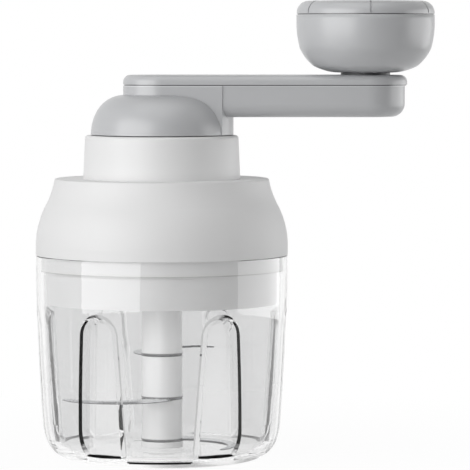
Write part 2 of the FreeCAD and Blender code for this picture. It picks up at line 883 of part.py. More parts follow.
def make_plug():
    """Plug that closes the bowl: skirt, flange on the gasket, and a raised floor."""
    body = new_body("inner_cover")
    wall = size.plug_wall
    floor_top = plug_floor + wall
    inner = plug_radius - wall
    lip_inner = deck_radius + size.flange_lip_gap
    turned(body, [
        line(plug_radius, plug_bottom),
        line(plug_radius, flange_level),
        line(flange_radius, flange_level),
        line(flange_radius, size.rim_level - size.flange_lip_gap),
        line(lip_inner, size.rim_level - size.flange_lip_gap),
        line(lip_inner, deck_level),
        line(inner, deck_level),
        line(inner, floor_top),
        line(journal_bore + size.seal_lip_width, floor_top),
        line(journal_bore + size.seal_lip_width, plug_floor),
        line(inner, plug_floor),
        line(inner, plug_bottom),
    ])
    tower = raised(body, floor_top, deck_level - floor_top,
                   circle(size.screw_head_radius + size.plug_wall / 2, screw_circle))
    repeated(body, tower, size.planet_count)
    clearance = size.screw_radius + size.bore_gap
    bore = sunk(body, plug_floor, deck_level - plug_floor, circle(clearance, screw_circle))
    repeated(body, bore, size.planet_count)
    recess = sunk(body, plug_floor, size.screw_head_height,
                  circle(size.screw_head_radius + size.bore_gap, screw_circle))
    repeated(body, recess, size.planet_count)
    return named(placed(body, turn=as_size(180) / size.planet_count), "inner_cover")


def make_deck():
    """Gear deck: bosses for the planet pins and the drive shaft's bush."""
    body = new_body("gear_deck")
    raised(body, deck_level, size.deck_thickness, circle(deck_radius))
    raised(body, deck_top, size.hub_boss_height, circle(size.hub_boss_radius))
    boss = raised(body, deck_top, size.planet_boss_height,
                  circle(size.planet_boss_radius, planet_circle))
    repeated(body, boss, size.planet_count)
    sunk(body, deck_level, size.deck_thickness + size.hub_boss_height,
         circle(lower_bush_radius))
    bore = sunk(body, deck_level, size.deck_thickness + size.planet_boss_height,
                circle(size.planet_pin_radius, planet_circle))
    repeated(body, bore, size.planet_count)
    clearance = sunk(body, deck_level, size.deck_thickness,
                     circle(size.screw_radius + size.bore_gap, -screw_circle))
    repeated(body, clearance, size.planet_count)
    return named(body, "gear_deck")


def make_planet_pins():
    """Three steel pins pressed into the deck, grooved at the top for the clips."""
    body = new_body("planet_pins")
    clip_level = gear_top + size.gear_gap
    lower = raised(body, deck_level, clip_level - deck_level,
                   circle(size.planet_pin_radius, planet_circle))
    repeated(body, lower, size.planet_count)
    neck = raised(body, clip_level, size.clip_thickness, circle(size.pin_neck_radius, planet_circle))
    repeated(body, neck, size.planet_count)
    head = raised(body, clip_level + size.clip_thickness, size.gear_gap,
                  circle(size.planet_pin_radius, planet_circle))
    repeated(body, head, size.planet_count)
    return named(body, "planet_pins")


def make_planet_clips():
    body = new_body("planet_clips")
    clip = raised(body, gear_top + size.gear_gap, size.clip_thickness,
                  circle(size.clip_radius, planet_circle),
                  circle(size.pin_neck_radius, planet_circle))
    repeated(body, clip, size.planet_count)
    return named(body, "planet_clips")


# ---------------------------------------------------------------- gear train

def involute(base_radius, radius):
    """Angle by which an involute has turned away from its start at a given radius."""
    pressure = math.acos(min(base_radius / radius, 1))
    return math.tan(pressure) - pressure


def polar(radius, angle):
    return Vector(radius * math.cos(angle), radius * math.sin(angle), 0)


def flank(base_radius, near, far, angle_at):
    """Arc through three points of an involute between two radii."""
    radii = (near, (near + far) / 2, far)
    points = [polar(radius, angle_at(involute(base_radius, radius))) for radius in radii]
    return Part.Arc(*points).toShape()


def gear_wire(teeth, addendum, dedendum, thinning, shift):
    """Involute outline of a gear. Its first tooth, or tooth space if addendum is the
    space's depth, is centred on the X axis turned by shift teeth."""
    module = gear_module.value
    pitch_radius = module * teeth / 2
    base_radius = pitch_radius * math.cos(math.radians(size.pressure_angle.value))
    tip = pitch_radius + addendum
    foot = pitch_radius - dedendum
    start = max(base_radius, foot)
    middle = (start + tip) / 2
    half_tooth = math.pi / (2 * teeth) - thinning / (2 * pitch_radius)
    at_pitch = involute(base_radius, pitch_radius)
    pitch = 2 * math.pi / teeth
    edges = []
    for tooth in range(teeth):
        centre = (tooth + shift) * pitch

        def rising(turned_by):
            return centre - half_tooth - at_pitch + turned_by

        def falling(turned_by):
            return centre + half_tooth + at_pitch - turned_by

        foot_turn = involute(base_radius, start)
        tip_turn = involute(base_radius, tip)
        if start > foot:
            edges.append(Part.LineSegment(
                polar(foot, rising(foot_turn)), polar(start, rising(foot_turn))).toShape())
        edges.append(flank(base_radius, start, middle, rising))
        edges.append(flank(base_radius, middle, tip, rising))
        edges.append(Part.Arc(polar(tip, rising(tip_turn)), polar(tip, centre),
                              polar(tip, falling(tip_turn))).toShape())
        edges.append(flank(base_radius, middle, tip, falling))
        edges.append(flank(base_radius, start, middle, falling))
        if start > foot:
            edges.append(Part.LineSegment(
                polar(start, falling(foot_turn)), polar(foot, falling(foot_turn))).toShape())
        next_foot = centre + pitch - half_tooth - at_pitch + foot_turn
        edges.append(Part.Arc(polar(foot, falling(foot_turn)), polar(foot, centre + pitch / 2),
                              polar(foot, next_foot)).toShape())
    return Part.Wire(Part.__sortEdges__(edges))


def gear_prism(name, wires, bottom, height):
    """Upright prism over the region between the wires."""
    outline = doc.addObject("Part::Feature", f"{name}_outline")
    outline.Shape = Part.makeCompound(wires)
    outline.Placement = Placement(Vector(0, 0, bottom.value), Rotation())
    bind(outline, "Placement.Base.z", bottom)
    prism = doc.addObject("Part::Extrusion", name)
    prism.Base = outline
    prism.DirMode = "Custom"
    prism.Dir = Vector(0, 0, 1)
    prism.LengthFwd = height.value
    bind(prism, "LengthFwd", height)
    prism.Solid = True
    prism.FaceMakerClass = "Part::FaceMakerBullseye"
    return prism


def external_gear(label, teeth, bore, shift=0.0):
    module = gear_module.value
    outline = gear_wire(int(teeth.value), module, module * (1 + size.root_clearance.value),
                        size.backlash.value, shift)
    return named(gear_prism(label, [outline, bore], gear_level, size.gear_face), label)


def circle_wire(radius):
    return Part.Wire(Part.makeCircle(radius.value))


def hexagon_wire(flats):
    corners = [Vector(x.value, y.value, 0) for _, x, y, _ in hexagon(flats)]
    return Part.makePolygon(corners + corners[:1])


def make_sun():
    return external_gear("sun_gear", size.sun_teeth, hexagon_wire(size.sun_flats))


def make_planets():
    """Planets on their pins, each with a tooth pointing straight outwards."""
    bore = circle_wire(size.planet_pin_radius + size.bore_gap)
    for number in range(int(size.planet_count.value)):
        gear = external_gear(f"planet_gear_{number + 1}", size.planet_teeth, bore)
        turn = as_size(360 * number) / size.planet_count
        gear.Placement = Placement(Vector(), Rotation(Vector(0, 0, 1), turn.value))
        placed(gear, planet_circle * cosine(turn), planet_circle * sine(turn), turn)


def make_ring_gear():
    """Internal gear on the crank: toothed rim under a web with a bore for the spindle."""
    module = gear_module.value
    addendum = module * (1 + size.root_clearance.value)
    dedendum = module * size.ring_addendum.value
    spaces = gear_wire(int(ring_teeth.value), addendum, dedendum, -size.backlash.value, 0.0)
    rim = gear_prism("ring_rim", [circle_wire(ring_outer_radius), spaces],
                     ring_bottom, web_level - ring_bottom)
    web = new_body("ring_web_disc")
    raised(web, web_level, size.ring_web, circle(ring_outer_radius), circle(size.pilot_radius))
    hole = sunk(web, web_level, size.ring_web,
                circle(size.small_screw_radius, size.hub_screw_circle))
    repeated(web, hole, size.planet_count)
    recess = sunk(web, web_level, size.small_screw_head_height,
                  circle(size.small_screw_head_radius + size.bore_gap, size.hub_screw_circle))
    repeated(web, recess, size.planet_count)
    ring = doc.addObject("Part::Fuse", "ring_gear")
    ring.Base = rim
    ring.Tool = web
    return named(ring, "ring_gear")


def make_drive_shaft():
    """Output shaft: hexagon for the blades below, journal, shoulder and hexagon for the sun."""
    body = new_body("drive_shaft")
    hex_bottom = sleeve_top - size.drive_hex_length
    journal_bottom = sleeve_top + size.bead_height
    clip_level = deck_level - size.shaft_clip_gap - size.clip_thickness
    raised(body, hex_bottom, journal_bottom - hex_bottom, hexagon(size.drive_flats))
    raised(body, journal_bottom, clip_level - journal_bottom, circle(size.journal_radius))
    raised(body, clip_level, size.clip_thickness, circle(size.shaft_clip_seat))
    above_clip = clip_level + size.clip_thickness
    raised(body, above_clip, shaft_shoulder - above_clip, circle(size.journal_radius))
    raised(body, shaft_shoulder, gear_level - shaft_shoulder,
           circle(size.shoulder_radius_drive))
    raised(body, gear_level, size.gear_face + size.sun_hex_excess, hexagon(size.sun_flats))
    named(body, "drive_shaft")
    washer("shaft_clip", size.shaft_clip_seat, size.shaft_clip_radius, clip_level,
           size.clip_thickness)


# ---------------------------------------------------------------- crank

def make_spindle():
    """Crank spindle: flange on the ring gear, barrel, journal in the bush and top hexagon."""
    body = new_body("crank_spindle")
    raised(body, web_level, size.ring_web, circle(size.pilot_radius))
    raised(body, web_top, size.spindle_flange_thickness, circle(size.spindle_flange_radius))
    raised(body, spindle_flange_top, spindle_shoulder - spindle_flange_top,
           circle(size.spindle_radius))
    raised(body, spindle_shoulder, dome_level - spindle_shoulder,
           circle(size.spindle_journal_radius))
    raised(body, dome_level, size.spindle_hex_length, hexagon(size.spindle_flats))
    thread = sunk(body, web_top, size.spindle_flange_thickness,
                  circle(size.small_screw_radius, size.hub_screw_circle))
    repeated(body, thread, size.planet_count)
    sunk(body, hub_socket_top - size.screw_grip, size.screw_grip,
         circle(size.spindle_screw_radius))
    return named(body, "crank_spindle")


def make_dome():
    """Dome over the hub: a turned shell with a mouth for the arm's root."""
    body = new_body("hub_dome")
    wall = size.dome_wall
    waist = dome_level + size.dome_waist_rise
    top = dome_level + size.dome_top_rise
    turned(body, [
        line(size.dome_radius, dome_level),
        left(size.dome_waist_radius, waist, size.dome_lower_curve),
        left(size.dome_top_radius, top, size.dome_upper_curve),
        line(size.dome_top_radius, top - wall),
        right(size.dome_waist_radius - wall, waist, size.dome_upper_curve - wall),
        right(size.dome_radius - wall, dome_level, size.dome_lower_curve - wall),
    ])
    sunk(body, dome_level, size.dome_top_rise + wall,
         stadium(size.arm_half_width + size.seam_gap, arm_length))
    return named(body, "hub_dome")


def make_arm():
    """Crank arm: a shell open at the top, whose root wraps down round the hub."""
    body = new_body("arm_shell")
    beam_half_width = size.arm_half_width - size.arm_flank_setback
    beam = raised(body, arm_bottom, size.arm_depth,
                  stadium(beam_half_width, arm_length - size.arm_flank_setback))
    rounded(body, beam, arm_bottom, size.arm_edge_round)
    raised(body, dome_level, arm_seam - dome_level,
           barrel_plan(size.arm_half_width, size.barrel_radius))
    sunk(body, arm_floor, arm_seam - arm_floor, stadium(inner_half_width, arm_length))
    sunk(body, hub_floor, arm_seam - hub_floor,
         barrel_plan(inner_half_width, size.barrel_radius - size.arm_wall))
    raised(body, hub_floor, socket_roof - hub_floor, circle(hub_boss_outer))
    raised(body, arm_floor, post_seat_top - arm_floor, circle(knob_seat_outer, size.knob_reach))
    rib_start = size.barrel_radius - size.arm_wall / 2
    rib_end = size.knob_reach - size.knob_post_spigot
    half_rib = size.rib_thickness / 2
    raised(body, arm_floor, size.rib_height, [
        line(rib_end, -half_rib), line(rib_end, half_rib),
        line(rib_start, half_rib), line(rib_start, -half_rib),
    ])
    sunk(body, dome_level, size.spindle_hex_length,
         hexagon(size.spindle_flats + size.hub_hex_clearance))
    sunk(body, hub_socket_top, socket_roof - hub_socket_top, circle(size.spindle_screw_radius))
    sunk(body, arm_floor, post_seat_top - arm_floor,
         circle(size.knob_post_spigot, size.knob_reach))
    return named(body, "arm_shell")


def make_arm_cover():
    """Arm cover: a rounded plate with a lip that drops inside the arm shell."""
    body = new_body("arm_cover")
    gap = size.shadow_gap
    raised(body, arm_seam, gap, stadium(size.arm_half_width - gap, arm_length))
    plate = raised(body, arm_seam + gap, size.cover_thickness - gap,
                   stadium(size.arm_half_width, arm_length))
    rounded(body, plate, arm_top, size.cover_edge_round)
    lip_half_width = inner_half_width - size.seam_gap
    raised(body, arm_seam - size.cover_lip_height, size.cover_lip_height,
           stadium(lip_half_width, arm_length),
           stadium(lip_half_width - size.cover_lip_wall, arm_length))
    sunk(body, arm_seam, size.cover_thickness,
         circle(size.knob_post_radius, size.knob_reach))
    return named(body, "arm_cover")


def make_spindle_screw():
    body = new_body("spindle_screw")
    raised(body, hub_socket_top - size.screw_grip, size.screw_grip + socket_roof - hub_socket_top,
           circle(size.spindle_screw_radius))
    raised(body, socket_roof, size.spindle_screw_head_height,
           circle(size.spindle_screw_head_radius), hexagon(size.spindle_screw_key_flats))
    return named(body, "spindle_screw")


# ---------------------------------------------------------------- knob

def make_knob_post():
    """Shouldered steel post: its spigot sits in the arm, the knob turns on its upper part."""
    body = new_body("knob_post")
    raised(body, arm_floor, post_seat_top - arm_floor, circle(size.knob_post_spigot))
    raised(body, post_seat_top, knob_post_top - post_seat_top, circle(size.knob_post_radius))
    sunk(body, knob_post_top - size.screw_grip, size.screw_grip, circle(size.screw_radius))
    return named(placed(body, x=size.knob_reach), "knob_post")


def make_knob_screw():
    body = new_body("knob_screw")
    washer_top = knob_post_top + size.retainer_thickness
    raised(body, knob_post_top - size.screw_grip, size.screw_grip + size.retainer_thickness,
           circle(size.screw_radius))
    raised(body, washer_top, size.screw_head_height,
           circle(size.screw_head_radius), hexagon(size.screw_key_flats))
    return named(placed(body, x=size.knob_reach), "knob_screw")


def make_knob_shell():
    """Knob: a turned cup with a hub for the bush, closed by the cap."""
    body = new_body("knob_shell")
    wall = size.knob_wall
    cheek = knob_level + size.knob_cheek_rise
    flank_level = knob_level + size.knob_flank_rise
    turned(body, [
        line(knob_bush_radius, knob_level),
        line(size.knob_foot_radius, knob_level),
        left(size.knob_cheek_radius, cheek, size.knob_cheek_curve),
        left(size.knob_flank_radius, flank_level, size.knob_flank_curve),
        left(size.knob_radius, knob_seam, size.knob_side_curve),
        line(size.knob_radius - wall, knob_seam),
        right(size.knob_flank_radius - wall, flank_level + wall / 2, size.knob_side_curve - wall),
        right(size.knob_cheek_radius - wall / 2, cheek + wall, size.knob_flank_curve - wall),
        line(knob_hub_radius, knob_level + wall),
        line(knob_hub_radius, knob_hub_top),
        line(knob_bush_radius, knob_hub_top),
    ])
    return named(placed(body, x=size.knob_reach), "knob_shell")


def make_knob_cap():
    """Knob cap with a rounded rim, radial slots and a ring that plugs into the shell."""
    body = new_body("knob_cap")
    top = knob_seam + size.cap_height
    inner = size.knob_radius - size.cap_round
    gap = size.shadow_gap
    turned(body, [
        line(size.knob_radius - gap, knob_seam),
        line(size.knob_radius - gap, knob_seam + gap),
        line(size.knob_radius, knob_seam + gap),
        line(size.knob_radius, top - size.cap_round),
        left(inner, top, size.cap_round),
        line(0, top),
        line(0, top - size.knob_wall),
        line(inner - size.knob_wall, top - size.knob_wall),
        line(inner - size.knob_wall, knob_seam),
    ])
    plug = size.knob_radius - size.knob_wall - size.seam_gap
    raised(body, knob_seam - size.cover_lip_height, size.cover_lip_height,
           circle(plug), circle(plug - size.cover_lip_wall))
    depth = size.cap_slot_depth
    sketch = new_sketch(body, "XZ_Plane", [[
        line(size.knob_radius + depth, knob_seam + depth),
        line(size.knob_radius + depth, top + depth),
        line(size.cap_slot_start, top + depth),
        line(size.cap_slot_start, top - depth),
        line(inner, top - depth),
        right(size.knob_radius - depth, top - size.cap_round, size.cap_round - depth),
        line(size.knob_radius - depth, knob_seam + depth),
    ]])
    slot = body.newObject("PartDesign::Groove", "cap_slot")
    slot.Profile = sketch
    slot.ReferenceAxis = (sketch, ["V_Axis"])
    slot.Angle = size.cap_slot_angle.value
    slot.Midplane = True
    bind(slot, "Angle", size.cap_slot_angle)
    repeated(body, slot, size.cap_slots)
    return named(placed(body, x=size.knob_reach, turn=size.first_slot_angle), "knob_cap")


# ---------------------------------------------------------------- assembly

def make_gasket():
    return washer("gasket_ring", plug_radius, flange_radius, ledge_level,
                  size.gasket_thickness)


def make_shaft_seal():
    return washer("shaft_seal", journal_bore, journal_bore + size.seal_lip_width, plug_floor,
                  size.plug_wall)


def make_everything():
    make_bowl()
    make_pivot_pin()
    make_blade_post()
    make_blade("blade_bottom", bottom_blade_level, bottom_blade_reach,
               size.bottom_blade_angle)
    make_spacer("spacer_lower", lower_spacer_level, size.lower_spacer_height)
    make_blade("blade_middle", middle_blade_level, blade_reach, size.middle_blade_angle)
    make_spacer("spacer_middle", middle_spacer_level, size.middle_spacer_height)
    make_blade("blade_top", top_blade_level, blade_reach, size.top_blade_angle)
    make_sleeve()

    make_lid_shell()
    make_collar()
    lipped_bush("upper_bush", upper_bore, upper_bush_radius, plate_level, collar_top,
                size.bush_lip, plate_level - size.bush_lip_height, plate_level)
    make_plug()
    make_gasket()
    make_shaft_seal()
    make_deck()
    lipped_bush("lower_bush", journal_bore, lower_bush_radius, deck_level, lower_bush_top,
                size.lower_bush_lip, lower_bush_top,
                lower_bush_top + size.lower_bush_lip_height)
    make_planet_pins()
    make_planet_clips()
    screws("lid_screws", size.planet_count, screw_circle, plug_floor,
           size.screw_head_height, size.screw_head_radius, size.screw_radius,
           deck_top + size.screw_grip - plug_floor - size.screw_head_height,
           turn=as_size(180) / size.planet_count)

    make_sun()
    make_planets()
    make_ring_gear()
    make_drive_shaft()

    make_spindle()
    screws("hub_screws", size.planet_count, size.hub_screw_circle, web_level,
           size.small_screw_head_height, size.small_screw_head_radius, size.small_screw_radius,
           size.ring_web + size.spindle_flange_thickness - size.small_screw_head_height)
    make_dome()
    make_arm()
    make_arm_cover()
    make_spindle_screw()
    washer("knob_washer", size.knob_post_radius, size.knob_washer_radius, arm_top,
           size.knob_washer_thickness, x=size.knob_reach)
    make_knob_post()
    washer("knob_retainer", size.screw_radius, size.retainer_radius, knob_post_top,
           size.retainer_thickness, x=size.knob_reach)
    make_knob_screw()

    make_knob_shell()
    washer("knob_bush", knob_bore, knob_bush_radius, knob_level, size.knob_hub_height,
           x=size.knob_reach)
    make_knob_cap()


make_everything()
doc.recompute()

for thing in doc.Objects:
    if "Invalid" in thing.State or "Error" in thing.State:
        raise RuntimeError(f"{thing.Label} failed: {thing.State}")
for thing in subparts:
    if thing.Shape.isNull() or not thing.Shape.isValid() or not thing.Shape.Solids:
        raise RuntimeError(f"{thing.Label} has no valid solid")

os.makedirs("parts", exist_ok=True)
for thing in subparts:
    thing.Shape.exportStep(f"parts/{thing.Label}.step")
    print(f"{thing.Label}: {len(thing.Shape.Solids)} solid, {thing.Shape.Volume:.0f} mm3")
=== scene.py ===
import json
import math

import bpy
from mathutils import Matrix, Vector

# Lengths are in metres. The part stands on z = 0 and its front looks along -y.
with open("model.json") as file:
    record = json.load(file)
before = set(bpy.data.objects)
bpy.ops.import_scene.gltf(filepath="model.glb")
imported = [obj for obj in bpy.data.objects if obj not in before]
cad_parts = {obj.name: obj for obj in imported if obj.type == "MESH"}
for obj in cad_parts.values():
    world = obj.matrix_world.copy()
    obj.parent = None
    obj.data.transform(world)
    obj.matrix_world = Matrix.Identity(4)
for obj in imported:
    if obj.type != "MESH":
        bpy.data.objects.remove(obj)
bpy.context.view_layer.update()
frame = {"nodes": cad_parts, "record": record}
nodes = frame["nodes"]
subparts = frame["record"]["subparts"]
scene = bpy.context.scene


# ---------------------------------------------------------------- node helpers

# Nearly all of a noise lies between these values.
NOISE_LIMITS = (0.3, 0.7)


class Tree:
    """Short hand for building one node tree."""

    def __init__(self, tree):
        self.tree = tree
        tree.nodes.clear()

    def add(self, kind, inputs=None, **settings):
        made = self.tree.nodes.new(kind)
        for name, value in settings.items():
            setattr(made, name, value)
        for name, value in (inputs or {}).items():
            socket = made.inputs[name]
            if isinstance(value, bpy.types.NodeSocket):
                self.tree.links.new(value, socket)
            else:
                socket.default_value = value
        return made

    # Numbers.

    def math(self, operation, first, second=0.0):
        return self.add("ShaderNodeMath", {0: first, 1: second}, operation=operation).outputs[0]

    def product(self, first, *others):
        for factor in others:
            first = self.math("MULTIPLY", first, factor)
        return first

    def largest(self, first, *others):
        for value in others:
            first = self.math("MAXIMUM", first, value)
        return first

    def ramp(self, value, low, high, to_low, to_high):
        return self.add("ShaderNodeMapRange", {
            "Value": value, "From Min": low, "From Max": high,
            "To Min": to_low, "To Max": to_high}).outputs["Result"]

    def rise(self, value, limits, top=1.0):
        """0 below both limits and top above them."""
        return self.ramp(value, *limits, 0.0, top)

    def fall(self, value, limits, rest=0.0):
        """1 below both limits and rest above them."""
        return self.ramp(value, *limits, 1.0, rest)

    def uneven(self, noise, low, high):
        """A value that follows a noise from low to high."""
        return self.ramp(noise, *NOISE_LIMITS, low, high)

    # Vectors.

    def vector(self, operation, first, second=(0, 0, 0), output="Vector"):
        return self.add("ShaderNodeVectorMath", {0: first, 1: second},
                        operation=operation).outputs[output]

    def scaled(self, vector, scale):
        return self.add("ShaderNodeVectorMath", {0: vector, "Scale": scale},
                        operation="SCALE").outputs["Vector"]

    def component(self, vector, axis):
        return self.add("ShaderNodeSeparateXYZ", {0: vector}).outputs[axis]

    def position(self):
        return self.add("ShaderNodeTexCoord").outputs["Object"]

    def stretched(self, x=1.0, y=1.0, z=1.0):
        """Position for a noise that is drawn out along the axes with a small factor."""
        return self.add("ShaderNodeMapping", {
            "Vector": self.position(), "Scale": (x, y, z)}).outputs["Vector"]

    # Textures and colours.

    def noise(self, scale, detail, roughness=0.5, vector=None):
        return self.add("ShaderNodeTexNoise", {
            "Vector": vector or self.position(), "Scale": scale, "Detail": detail,
            "Roughness": roughness}).outputs["Fac"]

    def bump(self, height, distance, strength=1.0, normal=None):
        inputs = {"Height": height, "Distance": distance, "Strength": strength}
        if normal:
            inputs["Normal"] = normal
        return self.add("ShaderNodeBump", inputs).outputs["Normal"]

    def colours(self, factor, first, second):
        """Mix of two fixed colours."""
        made = self.add("ShaderNodeMix", data_type="RGBA")
        made.inputs[6].default_value = (*first, 1)
        made.inputs[7].default_value = (*second, 1)
        self.tree.links.new(factor, made.inputs[0])
        return made.outputs[2]

    def mixed(self, factor, first, second):
        """Mix of two colours that other nodes give."""
        made = self.add("ShaderNodeMix", data_type="RGBA")
        for socket, source in ((0, factor), (6, first), (7, second)):
            self.tree.links.new(source, made.inputs[socket])
        return made.outputs[2]

    def striped(self, colour, strips):
        """Each strip is a low level, a high level and the share of the colour left there."""
        for low, high, share in strips:
            level = self.component(self.position(), "Z")
            within = self.math("COMPARE", level, (low + high) / 2)
            within.node.inputs[2].default_value = (high - low) / 2
            colour = self.mixed(within, colour, self.scaled(colour, share))
        return colour

    # Shaders.

    def mixed_shader(self, factor, first, second):
        return self.add("ShaderNodeMixShader", {
            0: factor, 1: first.outputs[0], 2: second.outputs[0]})

    def surface(self, shader):
        self.add("ShaderNodeOutputMaterial", {"Surface": shader.outputs[0]})


def new_material(name):
    made = bpy.data.materials.new(name)
    made.use_nodes = True
    return made, Tree(made.node_tree)


def shade(tone, factor):
    return tuple(channel * factor for channel in tone)


# ---------------------------------------------------------------- plastic, rubber and steel

# Upright share of a normal: the sheet's cut edges are below these limits, its faces above.
LYING_FLAT = (0.3, 0.7)
DULL, BRIGHT = 0.94, 1.04


def plastic(name, tone, roughness, variation=0.03, coat=0.0, ior=1.49, strips=(), blend=0.0):
    """Moulded plastic: faint flow marks in the colour, uneven gloss and a fine eroded grain.

    Creases are shaded as rounded over the distance blend.
    """
    made, tree = new_material(name)
    flow = tree.noise(scale=35.0, detail=3.0, vector=tree.stretched(z=0.35))
    cloud = tree.noise(scale=260.0, detail=4.0, roughness=0.6)
    grain = tree.noise(scale=4000.0, detail=1.0)
    shrink_marks = tree.noise(scale=60.0, detail=1.0)
    colour = tree.colours(flow, shade(tone, 1 - variation), shade(tone, 1 + variation))
    normal = None
    if blend:
        normal = tree.add("ShaderNodeBevel", {"Radius": blend}, samples=8).outputs["Normal"]
    normal = tree.bump(grain, distance=0.000001, strength=0.4, normal=normal)
    normal = tree.bump(shrink_marks, distance=0.00008, strength=0.15, normal=normal)
    tree.surface(tree.add("ShaderNodeBsdfPrincipled", {
        "Base Color": tree.striped(colour, strips),
        "Roughness": tree.uneven(cloud, roughness - 0.015, roughness + 0.02),
        "IOR": ior, "Normal": normal,
        "Coat Weight": coat, "Coat Roughness": 0.12, "Coat IOR": 2.0}))
    return made


def rubber(name, tone, strips=()):
    """Moulded elastomer: matt, with a fine dusty grain."""
    made, tree = new_material(name)
    dust = tree.noise(scale=700.0, detail=4.0, roughness=0.65)
    grain = tree.noise(scale=5000.0, detail=2.0)
    colour = tree.colours(dust, shade(tone, 0.95), shade(tone, 1.04))
    tree.surface(tree.add("ShaderNodeBsdfPrincipled", {
        "Base Color": tree.striped(colour, strips),
        "Roughness": tree.uneven(dust, 0.55, 0.7), "IOR": 1.45,
        "Normal": tree.bump(grain, distance=0.00001, strength=0.6)}))
    return made


def metal(name, tone, roughness, brush=(1.0, 1.0, 1.0), cut_edge_shade=1.0):
    """Steel with uneven gloss, and streaks along the axis that has a small factor in brush.

    Upright faces, where the sheet is cut, are darker by the given share: painted shade on the
    cut edges.
    """
    made, tree = new_material(name)
    streaks = tree.noise(scale=900.0, detail=4.0, roughness=0.6, vector=tree.stretched(*brush))
    smudges = tree.noise(scale=120.0, detail=3.0)
    ground = tree.colours(smudges, shade(tone, DULL), shade(tone, BRIGHT))
    # Painted shade for the cut edges.
    painted_dark = tree.colours(smudges, shade(tone, DULL * cut_edge_shade), shade(tone, BRIGHT * cut_edge_shade))
    facing = tree.component(tree.add("ShaderNodeNewGeometry").outputs["True Normal"], "Z")
    lying = tree.rise(tree.math("ABSOLUTE", facing), LYING_FLAT)
    tree.surface(tree.add("ShaderNodeBsdfPrincipled", {
        "Base Color": tree.mixed(lying, painted_dark, ground), "Metallic": 1.0,
        "Roughness": tree.uneven(streaks, roughness - 0.05, roughness + 0.08),
        "Normal": tree.bump(streaks, distance=0.000004, strength=0.7)}))
    return made


# ---------------------------------------------------------------- clear bowl

# Each pair of limits is where one mask fades.
# Heights above the foot of the bowl, and distances from the axis.
LEDGE_TOP = (0.0058, 0.006)
LEDGE_INSIDE = (0.034, 0.0342)
SHELF_FOOT = (0.00225, 0.0023)
SHELF_TOP = (0.0027, 0.00275)
FLUTE_TO_WALL = (0.0355, 0.0375)

# Cosines of the angle round the axis between a point and the front.
FRONT_PART = (0.6, 0.75)
MIDDLE_RIB = (0.955, 0.96)

# Cosines of the angle between the surface's normal and straight up.
UPWARD = (0.3, 0.5)
UNDERSIDE = (-0.96, -0.9)

# Cosines of the angle between the surface's normal and straight away from the axis.
INNER_TO_OUTER = (-0.1, 0.1)
NOT_INWARD = (-0.2, -0.15)
OUTWARD = (0.3, 0.4)
SQUARE_ON = (0.8, 0.9)

# Lean of a flute's side away from the middle plane, and the share it lets straight through.
LEANING = (0.001, 0.003)
OPEN_SHARE = 0.68

# Noise values between which the scuffs appear, and their roughness.
SCUFFED = (0.55, 0.8)
SCUFF_ROUGHNESS = 0.05

SMOKE_IN_FLUTES = 0.6
# Colour of the painted shade on the ledges and the shelf's edge.
LEDGE_PAINTED_DARK = (0.01, 0.01, 0.01)


class BowlPoint:
    """Where a point of the bowl lies and which way its surface faces."""

    def __init__(self, tree):
        surface = tree.add("ShaderNodeNewGeometry").outputs
        side = tree.math("SUBTRACT", 1.0, tree.product(surface["Backfacing"], 2.0))
        outward = tree.scaled(surface["True Normal"], side)
        level = tree.vector("MULTIPLY", surface["Position"], (1, 1, 0))
        away = tree.vector("NORMALIZE", level)
        self.height = tree.component(tree.position(), "Z")
        self.radius = tree.vector("LENGTH", level, output="Value")
        self.front = tree.vector("DOT_PRODUCT", away, (0, -1, 0), "Value")
        self.reach = tree.vector("DOT_PRODUCT", away, outward, "Value")
        self.upward = tree.component(outward, "Z")
        self.lean = tree.product(tree.component(level, "X"), tree.component(outward, "X"),
                                 self.reach)


def open_sides(tree, point):
    """The sides of the front and back flutes that lie nearer the middle plane x = 0."""
    return tree.product(
        tree.rise(tree.math("ABSOLUTE", point.front), FRONT_PART, top=OPEN_SHARE),
        tree.rise(point.lean, LEANING),
        tree.fall(tree.math("ABSOLUTE", point.reach), SQUARE_ON))


def foot_ledges(tree, point):
    """The narrow ledges at the foot of the rib and flutes in front, where painted shade goes."""
    return tree.product(
        tree.rise(point.upward, UPWARD), tree.fall(point.height, LEDGE_TOP),
        tree.rise(point.radius, LEDGE_INSIDE), tree.rise(point.front, FRONT_PART),
        tree.rise(point.reach, NOT_INWARD))


def shelf_line(tree, point):
    """The edge of the shelf under the rib in front, where painted shade goes."""
    return tree.product(
        tree.rise(point.front, MIDDLE_RIB), tree.rise(point.height, SHELF_FOOT),
        tree.fall(point.height, SHELF_TOP), tree.rise(point.reach, OUTWARD))


